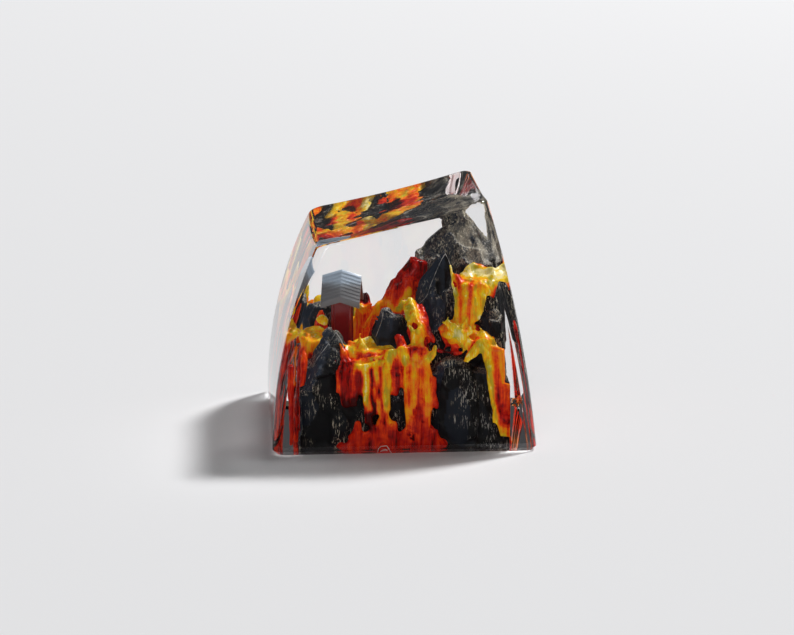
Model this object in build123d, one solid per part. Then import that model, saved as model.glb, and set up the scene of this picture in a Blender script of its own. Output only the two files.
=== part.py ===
from build123d import *
import os
from math import cos, pi, radians, sin, sqrt
from typing import NamedTuple

# Artisan keycap: a clear resin cap cast over a black rock landscape with lava runs and a small hut.
# Frame: +Z up, origin at the middle of the underside. The typist sits at -Y, the tall back edge is at +Y.
# All sizes in millimetres, all angles in degrees.

# Clear cap: outer form
base_width = 18.2            # square foot of a one-unit key
top_height = 15.3            # middle of the dished top
top_tilt = 14.5              # the top rises towards the back
dish_radius = 90.0           # ball that the shallow dish is part of
side_radius = 54.0           # bulge of the left and right walls
front_radius = 33.0          # bulge of the front wall
back_radius = 92.0           # the back wall is straighter
back_lean = 5.5              # and leans in from its foot
corner_radius = 1.0          # upright corners
top_edge_radius = 0.5        # rolled edge round the dish
foot_edge = 0.3              # broken edge at the foot
nick_radius = 0.5            # small chip out of the near foot edge
nick_place = -1.5            # along that edge
nick_depth = 0.25

# Clear resin left over the landscape
rock_cover = 0.8             # between the near or far wall and the rock
lava_proud = 0.3             # the lava stands out of the rock by this
inner_corner = 0.4           # upright corners of what is cast inside
top_cover = 1.0              # between the dish and the highest peak

# Underside: switch cavity, stem boss and its cross socket
cavity_width = 14.2
cavity_depth = 4.6
cavity_draft = 2.0
cavity_corner = 0.8
rock_wall = 0.7              # rock round the cavity
rock_roof = 0.8              # rock over the cavity
boss_diameter = 5.5
boss_setback = 0.3           # the boss stops short of the table
socket_depth = 3.8
socket_reach = 4.1           # length of both arms of the cross
socket_wide_arm = 1.35
socket_thin_arm = 1.17

# Hut: red walls under a folded slate roof
hut_x = 2.9
hut_y = -4.1
hut_turn = -8.0
hut_floor = 6.5              # top of the ledge that it stands on
eaves_height = 3.9           # floor to the top of the posts
wall_width = 1.25            # along the ridge
wall_depth = 1.5             # across the ridge
post_size = 0.24             # square posts at the corners
post_proud = 0.06            # they stand out from the walls
roof_width = 2.7             # along the ridge
roof_reach = 2.1             # from the ridge to each eave
roof_pitch = 48.0
roof_fold = 17.0             # the ridge falls away from its middle
roof_thickness = 0.34
roof_courses = 8             # rows of slates on a slope
slate_step = 0.06            # thickness of a slate's edge

# Places on the landscape are measured from the cap's walls at its foot
near = base_width / 2
far = -near
front = -near
back = near
terrace = cavity_depth + rock_roof
rock_end_cover = near - cavity_width / 2 - rock_wall
lava_cover = rock_cover - lava_proud
lava_end_cover = rock_end_cover - lava_proud
sunk = 0.6                   # how far a rock or a pool is rooted in what carries it

# Silhouettes of stacked forms: share of the height, share of the foot's radius
PEAK = ((0, 1), (0.6, 0.74), (0.85, 0.4), (1, 0.05))
BLUFF = ((0, 1), (0.7, 0.86), (0.92, 0.6), (1, 0.25))
MESA = ((0, 1), (1, 0.8))
POOL = ((0, 0.6), (0.55, 0.95), (0.85, 1), (1, 0.84))
KNOB = ((0, 0.7), (0.4, 1), (0.75, 0.8), (1, 0.3))
COAT = ((0, 1), (0.5, 0.58), (0.8, 0.32), (1, 0.06))


class Form(NamedTuple):
    """A stacked form: where it stands, from which height to which, and how wide its foot is."""
    x: float
    y: float
    foot: float
    peak: float
    radius: float
    shape: tuple = PEAK
    sides: int = 8
    turn: float = 0


class Fall(NamedTuple):
    """A run of lava between two points inside the cap; spread widens its end, sway bends it sideways."""
    lip: tuple
    end: tuple
    width: float
    spread: float = 0.6
    sway: float = 0.2


class WallFall(NamedTuple):
    """A run of lava down one wall: its place along the wall and its height, at its lip and its end."""
    wall: str
    lip: tuple
    end: tuple
    width: float
    spread: float = 0.6
    sway: float = 0.2


ROCKS = {
    "back_terrace": Form(near - 8.4, back - 5.2, 0, 8.2, 5.6, MESA, 14, 10),
    "upper_terrace": Form(near - 7.2, back - 4.2, 0, 10.4, 4.4, MESA, 12, 25),
    "summit": Form(near - 10.0, back - 4.9, 0, 14.9, 4.9, PEAK, 14, 40),
    "second_peak": Form(near - 5.7, back - 6.6, 0, 12.6, 2.9, PEAK, 10, 15),
    "ridge": Form(near - 10.0, back - 7.9, 0, 11.3, 2.6, PEAK, 7, 60),
    "boulder": Form(near - 4.8, front + 8.2, terrace - sunk, 8.9, 1.35, BLUFF, 7, 30),
    "left_crag": Form(near - 2.6, front + 4.3, 0, 8.1, 3.0, PEAK, 10, 20),
    "left_shoulder": Form(near - 2.4, front + 2.7, 0, 6.4, 1.9, BLUFF, 8, 50),
    "left_buttress": Form(near - 2.2, front + 4.2, 0, 6.0, 3.3, PEAK, 12, 8),
    "right_crag": Form(near - 2.1, back - 5.6, 0, 6.3, 2.1, BLUFF, 12, 5),
    "right_rib": Form(near - 1.9, back - 6.7, 0, 5.4, 1.1, BLUFF, 8, 30),
    "back_buttress": Form(near - 8.2, back - 2.4, 0, 12.9, 4.0, BLUFF, 14, 15),
    "corner_buttress": Form(near - 4.2, back - 2.2, 0, 9.6, 2.6, BLUFF, 9, 35),
    "rear_rock": Form(near - 10.1, front + 3.8, terrace - sunk, 8.8, 1.6, BLUFF, 7, 12),
    "far_crag_front": Form(far + 3.4, front + 5.6, 0, 8.3, 2.3, PEAK, 8, 33),
    "far_crag_middle": Form(far + 3.0, back - 8.2, 0, 9.6, 2.1, PEAK, 10, 70),
    "far_crag_back": Form(far + 3.6, back - 4.0, 0, 11.2, 2.5, PEAK, 10, 5),
    "far_corner": Form(far + 2.6, front + 2.6, 0, 6.9, 2.2, BLUFF, 8, 22),
    "front_bluff": Form(near - 7.4, front + 2.2, 0, 6.8, 2.1, BLUFF, 9, 48),
    "hut_ledge": Form(hut_x, hut_y, terrace - sunk, hut_floor, 1.7, MESA, 8, 18),
}

LAVA_FORMS = {
    "lake": Form(near - 9.2, front + 7.6, terrace - sunk, 6.4, 6.3, MESA, 10, 20),
    "upper_pool": Form(near - 4.4, back - 4.1, 9.9, 11.6, 1.75, POOL, 9, 8),
    "middle_pool": Form(near - 2.9, back - 5.4, 6.9, 8.5, 1.55, POOL, 9, 20),
    "lower_pool": Form(near - 3.0, front + 6.9, terrace - sunk, 7.0, 1.75, POOL, 9, 5),
    "pool_rim": Form(near - 2.7, front + 5.4, terrace - sunk, 7.6, 0.8, KNOB, 7, 15),
    "pool_spike": Form(near - 2.5, front + 6.1, terrace - sunk, 8.2, 0.9, COAT, 6, 30),
    "pool_tongue": Form(near - 1.7, front + 6.5, terrace - sunk, 6.1, 1.2, POOL, 8, 0),
    "centre_lump": Form(near - 2.6, back - 8.0, terrace - sunk, 8.0, 1.0, KNOB, 8, 12),
    "left_mound": Form(near - 4.4, front + 2.6, terrace - sunk, 7.9, 1.5, KNOB, 8, 0),
    "rear_knob": Form(near - 8.2, front + 3.6, terrace - sunk, 8.6, 0.75, KNOB, 6, 10),
    "orange_crest": Form(near - 6.7, front + 7.8, terrace - sunk, 9.5, 1.9, COAT, 8, 40),
    "red_knob": Form(near - 8.9, front + 6.7, terrace - sunk, 9.6, 1.0, KNOB, 7, 25),
    "ridge_coat": Form(near - 9.4, back - 8.2, terrace - sunk, 11.1, 3.0, COAT, 8, 30),
    "far_pool": Form(far + 4.6, back - 6.2, terrace - sunk, 8.9, 2.2, POOL, 8, 15),
    "far_front_pool": Form(far + 4.4, front + 4.0, terrace - sunk, 7.2, 1.9, POOL, 8, 35),
}

INNER_FALLS = {
    "upper": Fall((near - 3.2, back - 4.4, 11.3), (near - 2.4, back - 5.2, 7.6), 2.3, 0.8, 0.1),
    "centre_top": Fall((near - 4.6, back - 8.7, 9.9), (near - 2.4, back - 8.1, 6.9), 1.3, 0.9, 0.2),
}

WALL_FALLS = {
    "pour_main": WallFall("near", (back - 10.1, 7.2), (back - 10.5, 2.3), 1.3, 0.5, 0.15),
    "pour_left": WallFall("near", (back - 11.0, 6.4), (back - 11.3, 2.7), 1.2, 0.6, 0.1),
    "pour_edge": WallFall("near", (back - 11.8, 5.4), (back - 11.8, 2.0), 0.9, 0.4, 0),
    "plunge_left": WallFall("near", (back - 9.0, 7.3), (back - 8.8, 1.9), 1.3, 0.5, -0.15),
    "plunge_right": WallFall("near", (back - 8.1, 7.3), (back - 7.6, 2.2), 1.3, 0.6, 0.1),
    "red_gully": WallFall("near", (front + 5.2, 6.5), (front + 5.1, 3.2), 2.3, 0.4, 0),
    "ribbon_fork": WallFall("near", (back - 4.0, 7.7), (back - 5.0, 6.2), 1.2, 0.5, 0),
    "ribbon": WallFall("near", (back - 3.5, 7.9), (back - 2.3, 1.0), 1.7, 0.3, 0.2),
    "ribbon_edge": WallFall("near", (back - 2.4, 7.1), (back - 2.2, 2.3), 0.9, 0.6, 0.1),
    "corner_flame": WallFall("near", (back - 1.9, 3.6), (back - 1.8, 0), 0.4, 3.5, 0),
    "left_flame": WallFall("near", (front + 5.8, 2.3), (front + 5.6, 0), 0.4, 4.0, 0),
    "middle_flame": WallFall("near", (front + 7.7, 2.8), (front + 7.7, 0), 0.7, 4.2, 0),
    "right_flame": WallFall("near", (back - 7.9, 2.7), (back - 7.4, 0), 0.7, 4.6, 0),
    "front_far": WallFall("front", (far + 6.0, 6.2), (far + 5.8, 0.6), 2.0, 0.6, 0.2),
    "front_near": WallFall("front", (near - 4.3, 6.6), (near - 4.4, 0.3), 2.3, 0.9, -0.2),
    "far_back": WallFall("far", (back - 5.9, 8.2), (back - 6.2, 0.8), 2.0, 0.5, 0.3),
    "far_middle": WallFall("far", (front + 7.4, 6.6), (front + 7.0, 0.6), 2.1, 0.6, -0.3),
    "far_front": WallFall("far", (front + 4.2, 6.6), (front + 4.3, 1.4), 1.4, 0.5, 0.2),
    "back_far": WallFall("back", (far + 6.4, 8.0), (far + 6.2, 0.6), 2.0, 0.6, 0.2),
    "back_near": WallFall("back", (near - 5.6, 7.2), (near - 6.0, 0.8), 1.7, 0.7, -0.2),
}

# Raggedness of an outline, and the lens that a fall is stacked from
rag_depth = 0.13
rag_step = 2.4               # radians from one corner's wave to the next
lens_sides = 6
lens_thickness = 0.32        # share of its width
fall_steps = 3
smallest_solid = 0.02        # cubic millimetres; a thinner shaving stays with the clear resin


def wall_reach(height, radius, lean, inset):
    """Distance from the middle to a curved wall at one height, on the circle that the wall follows."""
    run = radius * cos(radians(lean))
    rise = radius * sin(radians(lean))
    return near - run + sqrt((radius - inset) ** 2 - (height + rise) ** 2)


def upright_face(plane, left, right, height, inset):
    """Face between two curved walls, from the table up to a level top."""
    half = height / 2
    foot_left = (-left(0, inset), 0)
    foot_right = (right(0, inset), 0)
    head_left = (-left(height, inset), height)
    head_right = (right(height, inset), height)
    outline = [
        Line(foot_right, foot_left),
        ThreePointArc(foot_left, (-left(half, inset), half), head_left),
        Line(head_left, head_right),
        ThreePointArc(head_right, (right(half, inset), half), foot_right),
    ]
    return plane * make_face(outline)


def side_reach(height, inset):
    """Reach of the left and right walls."""
    return wall_reach(height, side_radius, 0, inset)


def front_reach(height, inset):
    """Reach of the wall on the typist's side."""
    return wall_reach(height, front_radius, 0, inset)


def back_reach(height, inset):
    """Reach of the tall wall."""
    return wall_reach(height, back_radius, back_lean, inset)


def cap_form(inset, end_inset, cover, corner):
    """The cap's outer form, taken in at its near and far walls, at its front and back, and at its top."""
    blank = top_height + near * sin(radians(top_tilt))
    side_face = upright_face(Plane.YZ, front_reach, back_reach, blank, end_inset)
    front_face = upright_face(Plane.XZ, side_reach, side_reach, blank, inset)
    across = extrude(side_face, base_width, both=True)
    along = extrude(front_face, base_width, both=True)
    body = across & along
    uprights = [e for e in body.edges() if e.bounding_box().size.Z > blank / 2]
    body = fillet(uprights, corner)
    ball_centre = (
        0,
        -dish_radius * sin(radians(top_tilt)),
        top_height + dish_radius * cos(radians(top_tilt)),
    )
    return body - Pos(ball_centre) * Sphere(dish_radius + cover)


def outer_cap():
    """The whole cap as one block, with its rolled top edge, broken foot edge and the chip in it."""
    body = cap_form(0, 0, 0, corner_radius)
    dish = body.faces().filter_by(GeomType.SPHERE)[0]
    body = fillet(dish.edges(), top_edge_radius)
    foot = body.faces().sort_by(Axis.Z)[0]
    body = chamfer(foot.edges(), foot_edge)
    chip_x = side_reach(nick_radius, nick_depth - nick_radius)
    return body - Pos(chip_x, nick_place, nick_radius) * Sphere(nick_radius)


def faceted(rings):
    """Closed solid with flat faces between level rings, all of one outline at its own size and place."""
    faces = [Face(Wire.make_polygon(rings[0])), Face(Wire.make_polygon(rings[-1]))]
    for low, high in zip(rings, rings[1:]):
        for corner in range(len(low)):
            before = corner - 1
            quad = [low[before], low[corner], high[corner], high[before]]
            faces.append(Face(Wire.make_polygon(quad)))
    return Solid(Shell(faces))


def ragged_ring(x, y, z, radius, sides, turn):
    """Level outline of a rock or a pool, out and in by a fixed wave."""
    points = []
    for corner in range(sides):
        angle = radians(turn + 360 * corner / sides)
        reach = radius * (1 + rag_depth * cos(rag_step * corner + turn))
        points.append((x + reach * cos(angle), y + reach * sin(angle), z))
    return points


def stacked(form):
    """Rings of one outline, set over each other by the form's silhouette and skinned with flat faces."""
    rings = []
    for up, share in form.shape:
        height = form.foot + up * (form.peak - form.foot)
        rings.append(ragged_ring(form.x, form.y, height, form.radius * share, form.sides, form.turn))
    return faceted(rings)


def lens_ring(x, y, z, width, along_x):
    """Level lens across a fall, long in the direction of the wall that the fall runs down."""
    points = []
    for corner in range(lens_sides):
        angle = 2 * pi * (corner + 0.5) / lens_sides
        wide = width / 2 * cos(angle)
        thick = width * lens_thickness * sin(angle)
        step = (wide, thick) if along_x else (thick, wide)
        points.append((x + step[0], y + step[1], z))
    return points


def fall_stations(fall):
    """Place, sideways bend and width of a fall at each step from its lip to its end."""
    for step in range(fall_steps + 1):
        part = step / fall_steps
        place = [a + (b - a) * part for a, b in zip(fall.lip, fall.end)]
        bend = fall.sway * sin(2 * pi * part)
        width = fall.width * (1 + (fall.spread - 1) * part)
        yield place, bend, width


def inner_fall(fall):
    """A fall from pool to pool, inside the cap and facing the near wall."""
    rings = []
    for (x, y, z), bend, width in fall_stations(fall):
        rings.append(lens_ring(x, y + bend, z, width, False))
    return faceted(rings)


def wall_fall(fall):
    """A fall down one wall, kept just under the face of the clear cover all the way."""
    rings = []
    for (place, height), bend, width in fall_stations(fall):
        across = place + bend
        inset = lava_cover + lens_thickness * width
        end_inset = lava_end_cover + lens_thickness * width
        if fall.wall == "near":
            rings.append(lens_ring(side_reach(height, inset), across, height, width, False))
        elif fall.wall == "far":
            rings.append(lens_ring(-side_reach(height, inset), across, height, width, False))
        elif fall.wall == "front":
            rings.append(lens_ring(across, -front_reach(height, end_inset), height, width, True))
        else:
            rings.append(lens_ring(across, back_reach(height, end_inset), height, width, True))
    return faceted(rings)


def switch_cavity():
    """Hollow for the switch, drawn in towards its roof."""
    taper = 2 * cavity_depth * sin(radians(cavity_draft))
    mouth = RectangleRounded(cavity_width, cavity_width, cavity_corner)
    roof = RectangleRounded(cavity_width - taper, cavity_width - taper, cavity_corner)
    return loft([mouth, Pos(0, 0, cavity_depth) * roof])


def stem_boss():
    """Round boss that hangs from the cavity's roof, with a cross socket for the switch's stem."""
    bottom = Plane.XY.offset(boss_setback)
    boss = extrude(bottom * Circle(boss_diameter / 2), cavity_depth - boss_setback)
    cross = Rectangle(socket_reach, socket_thin_arm) + Rectangle(socket_wide_arm, socket_reach)
    return boss - extrude(bottom * cross, socket_depth)


def hut_place():
    """Where the hut stands and how it is turned."""
    return Pos(hut_x, hut_y, hut_floor) * Rot(0, 0, hut_turn)


def roof_gable(thickness):
    """Gable end of a roof whose underside meets the ridge line: slates stepped down both slopes."""
    run = roof_reach * cos(radians(roof_pitch))
    drop = roof_reach * sin(radians(roof_pitch))
    points = [(0, 0), (0, thickness)]
    for course in range(1, roof_courses + 1):
        share = course / roof_courses
        points.append((run * share, thickness - drop * share + slate_step))
        points.append((run * share, thickness - drop * share))
    points.append((run, -drop))
    half = Plane.XZ * make_face(Polyline(*points, close=True))
    return half + mirror(half, Plane.YZ)


def folded_roof(thickness):
    """The gable carried along the ridge and folded down at its middle, bearing on the posts."""
    long_half = roof_width / 2
    room = 2 * (roof_reach + thickness)
    slab = Rot(roof_fold, 0, 0) * extrude(roof_gable(thickness), room, both=True)
    half_roof = slab & Pos(0, -long_half / 2, 0) * Box(2 * room, long_half, 2 * room)
    roof = half_roof + mirror(half_roof, Plane.XZ)
    post_reach = wall_depth / 2 + post_proud
    ridge_height = eaves_height + post_reach * sin(radians(roof_pitch)) / cos(radians(roof_pitch))
    return hut_place() * Pos(0, 0, ridge_height) * roof


def hut_walls_solid():
    """Red walls with a square post at each corner, carried up to the underside of the roof."""
    full_height = eaves_height + roof_reach
    walls = extrude(Rectangle(wall_depth, wall_width), full_height)
    spacing_x = wall_depth - post_size + 2 * post_proud
    spacing_y = wall_width - post_size + 2 * post_proud
    posts = Sketch() + GridLocations(spacing_x, spacing_y, 2, 2) * Rectangle(post_size, post_size)
    body = hut_place() * (walls + extrude(posts, full_height))
    return body - folded_roof(full_height)


def kept(shape):
    """The solids of a cut shape that are large enough to be cast."""
    return [s for s in shape.solids() if s.volume > smallest_solid]


def rock_solid():
    """Black casting: terrace block, crags and bluffs, trimmed to the clear cover and hollowed below."""
    block = Pos(0, 0, terrace / 2) * Box(cavity_width + 2 * rock_wall, base_width, terrace)
    crags = [stacked(form) for form in ROCKS.values()]
    landscape = (block + crags) & cap_form(rock_cover, rock_end_cover, top_cover, inner_corner)
    return landscape - switch_cavity() + stem_boss()


def lava_solid():
    """Lava cast over the rock: a lake on the terrace, pools, lumps and falls."""
    pieces = [stacked(form) for form in LAVA_FORMS.values()]
    pieces += [inner_fall(fall) for fall in INNER_FALLS.values()]
    pieces += [wall_fall(fall) for fall in WALL_FALLS.values()]
    return (Part() + pieces) & cap_form(lava_cover, lava_end_cover, top_cover, inner_corner)


os.makedirs("parts", exist_ok=True)

rock_base = rock_solid()
hut_walls = hut_walls_solid() - rock_base
hut_roof = folded_roof(roof_thickness) - rock_base
lava_flows = Compound(kept(lava_solid() - rock_base - switch_cavity() - hut_walls - hut_roof))
clear_cap = outer_cap() - switch_cavity() - rock_base - hut_walls - hut_roof - lava_flows

NODES = {
    "clear_cap": Compound(kept(clear_cap)),
    "rock_base": rock_base,
    "lava_flows": lava_flows,
    "hut_walls": hut_walls,
    "hut_roof": hut_roof,
}

for name, shape in NODES.items():
    export_step(shape, os.path.join("parts", name + ".step"))
    print(name, len(shape.solids()), "solids", round(shape.volume, 2), "mm3")
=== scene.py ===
# %% [markdown]
# # A clear keycap with a lava landscape
#
# The real object is a key for a keyboard: black resin rock with poured lava and a small hut, cast into
# clear resin. CAD hands it over as five closed solids in one frame. Each step below takes one of them from
# its plain form to its finished look, and the last steps set the light and the camera. Shapes are worked on
# in millimetres, which are easy to think in, and go to metres at the end.

# %% Load the packed part
from math import cos, pi, radians, sin, sqrt
from typing import NamedTuple

import bmesh
import bpy
from mathutils import Matrix, Vector, noise
from mathutils.bvhtree import BVHTree
from mathutils.geometry import interpolate_bezier
from mathutils.kdtree import KDTree


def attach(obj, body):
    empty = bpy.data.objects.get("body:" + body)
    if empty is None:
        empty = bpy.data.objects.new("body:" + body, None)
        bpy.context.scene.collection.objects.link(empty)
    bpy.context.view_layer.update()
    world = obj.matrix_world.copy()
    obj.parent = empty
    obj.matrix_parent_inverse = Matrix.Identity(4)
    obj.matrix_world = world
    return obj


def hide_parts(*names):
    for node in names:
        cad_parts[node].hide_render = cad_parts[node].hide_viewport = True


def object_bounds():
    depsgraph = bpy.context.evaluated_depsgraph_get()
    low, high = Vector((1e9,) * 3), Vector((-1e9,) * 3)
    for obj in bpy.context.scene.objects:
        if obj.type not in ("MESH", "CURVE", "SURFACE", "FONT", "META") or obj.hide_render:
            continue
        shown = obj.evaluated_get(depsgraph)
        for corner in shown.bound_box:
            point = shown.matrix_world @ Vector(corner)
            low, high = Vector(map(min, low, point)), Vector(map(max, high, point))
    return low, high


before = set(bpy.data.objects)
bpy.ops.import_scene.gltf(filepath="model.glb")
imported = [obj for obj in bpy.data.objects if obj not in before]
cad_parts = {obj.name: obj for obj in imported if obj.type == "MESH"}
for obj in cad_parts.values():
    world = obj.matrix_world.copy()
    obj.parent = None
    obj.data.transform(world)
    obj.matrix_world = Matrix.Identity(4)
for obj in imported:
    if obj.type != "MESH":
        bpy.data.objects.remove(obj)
cad_low, cad_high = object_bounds()
MM = 0.001
print("CAD box in mm:", [round(v / MM, 2) for v in (*cad_low, *cad_high)])

# %% [markdown]
# ## The cap's outer form
#
# The real cap is a polished casting: four curved walls on a square foot, and a top that is dished like part
# of a large ball and leans towards the typist. A box with bent sides would come near it. Here the walls and
# the dish are formulas with the CAD source's own radii, so they lie where the solid's walls and dish do.

# %% Walls and dish
HALF = 9.1               # from the middle to the edge of the foot
TOP_HEIGHT = 15.3        # of the dish over the middle
TOP_TILT = radians(14.5)
DISH_RADIUS = 90.0
SIDE_RADIUS = 54.0       # of each wall's upright curve
FRONT_RADIUS = 33.0
BACK_RADIUS = 92.0
BACK_LEAN = radians(5.5)


def reach(z, radius, lean=0.0):
    """Distance from the middle to a wall at height z."""
    return HALF - radius * cos(lean) + sqrt(radius ** 2 - (z + radius * sin(lean)) ** 2)


def side_reach(z):
    return reach(z, SIDE_RADIUS)


def front_reach(z):
    return reach(z, FRONT_RADIUS)


def back_reach(z):
    return reach(z, BACK_RADIUS, BACK_LEAN)


def dish(x, y):
    """Height of the dished top over a point."""
    ball_y = -DISH_RADIUS * sin(TOP_TILT)
    ball_z = TOP_HEIGHT + DISH_RADIUS * cos(TOP_TILT)
    return ball_z - sqrt(DISH_RADIUS ** 2 - x ** 2 - (y - ball_y) ** 2)


half_way = [reaching(TOP_HEIGHT / 2) for reaching in (side_reach, front_reach, back_reach)]
print("walls half way up:", [round(distance, 2) for distance in half_way])

# %% Spots round the outline
CORNER_RADIUS = 0.8      # 1.0 in CAD; a little sharper, the corners bend the picture as they do in the photo


def outline(straight, corner):
    """Spots round a rounded square: place along its sides, and which way the wall faces there."""
    spots = []
    for quarter in range(4):
        c, s = cos(quarter * pi / 2), sin(quarter * pi / 2)
        for k in range(straight):
            along = -1 + 2 * k / straight
            spots.append((c - along * s, s + along * c, c, s))
        for k in range(corner):
            turn = (quarter + k / corner) * pi / 2
            spots.append((c - s, s + c, cos(turn), sin(turn)))
    return spots


def wall_point(spot, z, inset=0.0):
    """Point of the wall at one spot of the outline and one height."""
    along_x, along_y, face_x, face_y = spot
    radius = CORNER_RADIUS - inset
    wide = side_reach(z) - CORNER_RADIUS
    front = front_reach(z) - CORNER_RADIUS
    back = back_reach(z) - CORNER_RADIUS
    x = along_x * wide + radius * face_x
    y = (back - front) / 2 + along_y * (back + front) / 2 + radius * face_y
    return Vector((x, y, z))


def rim_point(spot):
    """Where the wall would meet the dish in a sharp edge, found by going back and forth between the two."""
    z = TOP_HEIGHT
    for _ in range(40):
        point = wall_point(spot, z)
        z = dish(point.x, point.y)
    return wall_point(spot, z)


print("rim at the near wall's middle:", [round(v, 2) for v in rim_point((1, 0, 1, 0))])

# %% [markdown]
# ## The clear casting
#
# On the real key this is the lump of resin that holds everything. The CAD solid could be shown as it is,
# but its triangles are too uneven to bend light cleanly. So a loop of edges is laid round the foot and
# extruded ring by ring: up the walls, over the rolled edge and across the dish. Underneath it turns in and
# ends in a plain core that lies hidden in the rock, which closes the skin.

# %% Rings of the core, the foot and the walls
ROLL = 0.4               # width of the rolled edge round the dish
FOOT_EDGE = 0.3          # and of the softened edge round the foot
LIFT = 0.02              # keeps the underside off the table
CORE_CORNER = 0.4
CORE_RINGS = ((7.0, 5.0), (7.12, LIFT))  # half the width, and the height
STRAIGHT_SPOTS = 34      # along each side of the outline
CORNER_SPOTS = 16        # and round each corner
WALL_STEPS = 36


def between(low, high, share):
    return low + (high - low) * share


def core_ring(spots, half, z):
    """A rounded square of the hidden core."""
    flat = half - CORE_CORNER
    return [
        Vector((sx * flat + CORE_CORNER * fx, sy * flat + CORE_CORNER * fy, z))
        for sx, sy, fx, fy in spots
    ]


def wall_rings(spots, rims):
    rings = []
    for step in range(WALL_STEPS + 1):
        share = step / WALL_STEPS
        heights = [between(FOOT_EDGE, rim.z - ROLL, share) for rim in rims]
        rings.append([wall_point(spot, z) for spot, z in zip(spots, heights)])
    return rings


spots = outline(STRAIGHT_SPOTS, CORNER_SPOTS)
rims = [rim_point(spot) for spot in spots]
core = [core_ring(spots, half, z) for half, z in CORE_RINGS]
foot = [wall_point(spot, LIFT, FOOT_EDGE) for spot in spots]
walls = wall_rings(spots, rims)
print(len(core), "rings of the core, 1 of the foot,", len(walls), "of the walls")

# %% Rings over the top
ROLL_STEPS = 9
DISH_SHARES = (1, 0.95, 0.88, 0.8, 0.7, 0.6, 0.5, 0.4, 0.3, 0.2, 0.12, 0.05)


def dished(p, share):
    """The point of the dish at p, drawn in towards the middle."""
    return Vector((p.x * share, p.y * share, dish(p.x * share, p.y * share)))


def top_rings(below, rims):
    """From the last ring of the wall over the rolled edge, and on to the middle of the dish."""
    inner = [dished(rim, 1 - ROLL / rim.xy.length) for rim in rims]
    rings = []
    for step in range(1, ROLL_STEPS):
        t = step / ROLL_STEPS
        shares = ((1 - t) ** 2, 2 * t * (1 - t), t ** 2)
        rings.append([a * shares[0] + b * shares[1] + c * shares[2] for a, b, c in zip(below, rims, inner)])
    return rings + [[dished(p, share) for p in inner] for share in DISH_SHARES]


casting_rings = [*core, foot, *walls, *top_rings(walls[-1], rims)]
for ring in casting_rings:
    for point in ring:
        point.z = min(point.z, cad_high[2] / MM)
print("casting:", len(casting_rings), "rings of", len(casting_rings[0]), "corners")


# %% Extrude the skin from ring to ring
def skin(rings):
    """A closed skin through rings of points."""
    bm = bmesh.new()
    loop = [bm.verts.new(point) for point in rings[0]]
    edges = [bm.edges.new((loop[k - 1], loop[k])) for k in range(len(loop))]
    bmesh.ops.contextual_create(bm, geom=edges)
    for ring in rings[1:]:
        made = bmesh.ops.extrude_edge_only(bm, edges=edges)["geom"]
        edges = [item for item in made if isinstance(item, bmesh.types.BMEdge) and item.is_boundary]
        fresh = {vert for edge in edges for vert in edge.verts}
        above = {}
        for vert in fresh:
            for edge in vert.link_edges:
                above[edge.other_vert(vert)] = vert
        loop = [above[vert] for vert in loop]
        for vert, point in zip(loop, ring):
            vert.co = point
    bmesh.ops.contextual_create(bm, geom=edges)
    bmesh.ops.recalc_face_normals(bm, faces=bm.faces)
    return bm


casting_bm = skin(casting_rings)
print("casting:", len(casting_bm.faces), "faces")

# %% [markdown]
# ## The chip
#
# The real cap has a small chip in its near foot edge. It could be pushed in by moving corners, but a break
# has sharp sides. So a rough little ball is cut out of the casting with a Boolean. Modifiers could stay
# live; here a stack is run at once and its result kept as plain mesh, so that later steps can measure it.

# %% Cut the chip
CHIP_RADIUS = 0.5
CHIP_DEPTH = 0.28
CHIP_PLACE = -1.5        # along the near edge


def settled(bm, *stack):
    """The bmesh after a stack of modifiers, each given as (type, settings)."""
    mesh = bpy.data.meshes.new("work")
    bm.to_mesh(mesh)
    bm.free()
    work = bpy.data.objects.new("work", mesh)
    bpy.context.collection.objects.link(work)
    for kind, settings in stack:
        modifier = work.modifiers.new(kind, kind)
        for key, value in settings.items():
            setattr(modifier, key, value)
    evaluated = work.evaluated_get(bpy.context.evaluated_depsgraph_get())
    done = bmesh.new()
    done.from_mesh(evaluated.to_mesh())
    bpy.data.objects.remove(work)
    bpy.data.meshes.remove(mesh)
    return done


def chipped(bm):
    """Take a small, rough-sided chip out of the near foot edge."""
    chip_bm = bmesh.new()
    bmesh.ops.create_icosphere(chip_bm, subdivisions=2, radius=CHIP_RADIUS)
    for vert in chip_bm.verts:
        vert.co *= 0.8 + 0.45 * noise.cell(vert.co * 23.0)
    middle = (side_reach(CHIP_RADIUS) + CHIP_RADIUS - CHIP_DEPTH, CHIP_PLACE, CHIP_RADIUS)
    bmesh.ops.translate(chip_bm, vec=middle, verts=chip_bm.verts)
    chip_mesh = bpy.data.meshes.new("chip")
    chip_bm.to_mesh(chip_mesh)
    chip_bm.free()
    chip = bpy.data.objects.new("chip", chip_mesh)
    bpy.context.collection.objects.link(chip)
    done = settled(bm, ("BOOLEAN", {"object": chip, "operation": "DIFFERENCE", "solver": "EXACT"}))
    bpy.data.objects.remove(chip)
    bpy.data.meshes.remove(chip_mesh)
    return done


casting_bm = chipped(casting_bm)
print("casting with its chip:", len(casting_bm.faces), "faces")

# %% [markdown]
# ## Shader maths that reads like arithmetic
#
# Most finishes below mix noises, and wiring Math nodes one by one hides the idea. `Signal` wraps one output
# socket instead: adding or multiplying two signals, or a signal and a number, adds the Math node that does
# it. `node` makes any other node, its settings first and then its sockets.


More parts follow.
